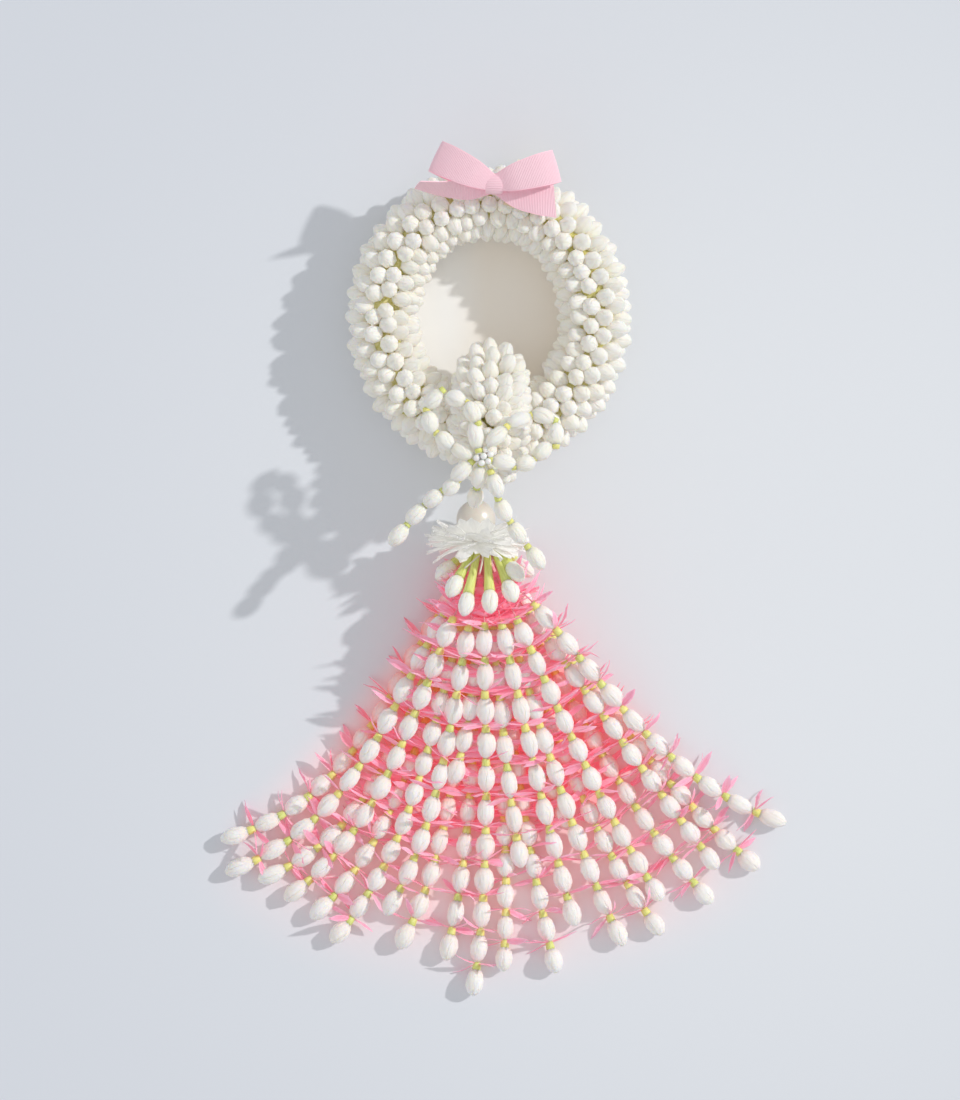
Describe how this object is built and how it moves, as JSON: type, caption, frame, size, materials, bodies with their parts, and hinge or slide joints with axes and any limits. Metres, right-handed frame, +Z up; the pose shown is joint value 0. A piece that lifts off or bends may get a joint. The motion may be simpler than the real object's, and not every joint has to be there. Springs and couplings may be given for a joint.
{
  "type": "jasmine garland",
  "caption": "Jasmine bud garland: an oval ring of threaded buds with a bud bow, a pearl and a fanned tassel, laid flat, to hang from a wrist or to offer.",
  "frame": {"origin": "on the surface the garland lies on, under the middle of its overall box", "axes": "+Y from the tassel to the top of the ring, +Z up from the surface, +X across the garland to the right as seen from above with the ring at the top"},
  "size_m": [0.2694, 0.4042, 0.065],
  "materials": {
    "jasmine_buds": "matte, waxy petals",
    "pearls": "pearl gloss",
    "skirt_petals": "thin translucent cloth",
    "thread": "cotton thread",
    "collar_buds": "matte, pale green tubes with white buds",
    "pink_ribbon": "ribbed ribbon",
    "cream_ribbon": "satin",
    "tassel_buds_and_florets": "matte, white buds and pink florets"
  },
  "bodies": {
    "root": {"ring_buds_1": "jasmine_buds", "ring_buds_2": "jasmine_buds", "ring_buds_3": "jasmine_buds", "ring_buds_4": "jasmine_buds", "ring_buds_5": "jasmine_buds", "ring_buds_6": "jasmine_buds", "ring_buds_7": "jasmine_buds", "ring_buds_8": "jasmine_buds", "clasp_buds": "jasmine_buds", "bow_loop_left": "jasmine_buds", "bow_loop_right": "jasmine_buds", "bow_tail_left": "jasmine_buds", "bow_tail_middle": "jasmine_buds", "bow_tail_right": "jasmine_buds", "knot_beads": "pearls", "neck_pearl": "pearls", "petal_skirt_upper": "skirt_petals", "petal_skirt_lower": "skirt_petals", "ring_thread": "thread", "neck_thread": "thread", "binding": "thread", "collar_buds": "collar_buds", "ribbon_bow": "pink_ribbon", "cream_ribbon": "cream_ribbon", "tassel_strand_01": "tassel_buds_and_florets", "tassel_strand_02": "tassel_buds_and_florets", "tassel_strand_03": "tassel_buds_and_florets", "tassel_strand_04": "tassel_buds_and_florets", "tassel_strand_05": "tassel_buds_and_florets", "tassel_strand_06": "tassel_buds_and_florets", "tassel_strand_07": "tassel_buds_and_florets", "tassel_strand_08": "tassel_buds_and_florets", "tassel_strand_09": "tassel_buds_and_florets", "tassel_strand_10": "tassel_buds_and_florets", "tassel_strand_11": "tassel_buds_and_florets", "tassel_strand_12": "tassel_buds_and_florets", "tassel_strand_13": "tassel_buds_and_florets", "tassel_strand_14": "tassel_buds_and_florets", "tassel_strand_15": "tassel_buds_and_florets", "tassel_strand_16": "tassel_buds_and_florets", "tassel_strand_17": "tassel_buds_and_florets", "tassel_strand_18": "tassel_buds_and_florets", "tassel_strand_19": "tassel_buds_and_florets", "tassel_strand_20": "tassel_buds_and_florets", "tassel_strand_21": "tassel_buds_and_florets", "tassel_strand_22": "tassel_buds_and_florets", "tassel_strand_23": "tassel_buds_and_florets", "tassel_strand_24": "tassel_buds_and_florets"}
  },
  "joints": []
}
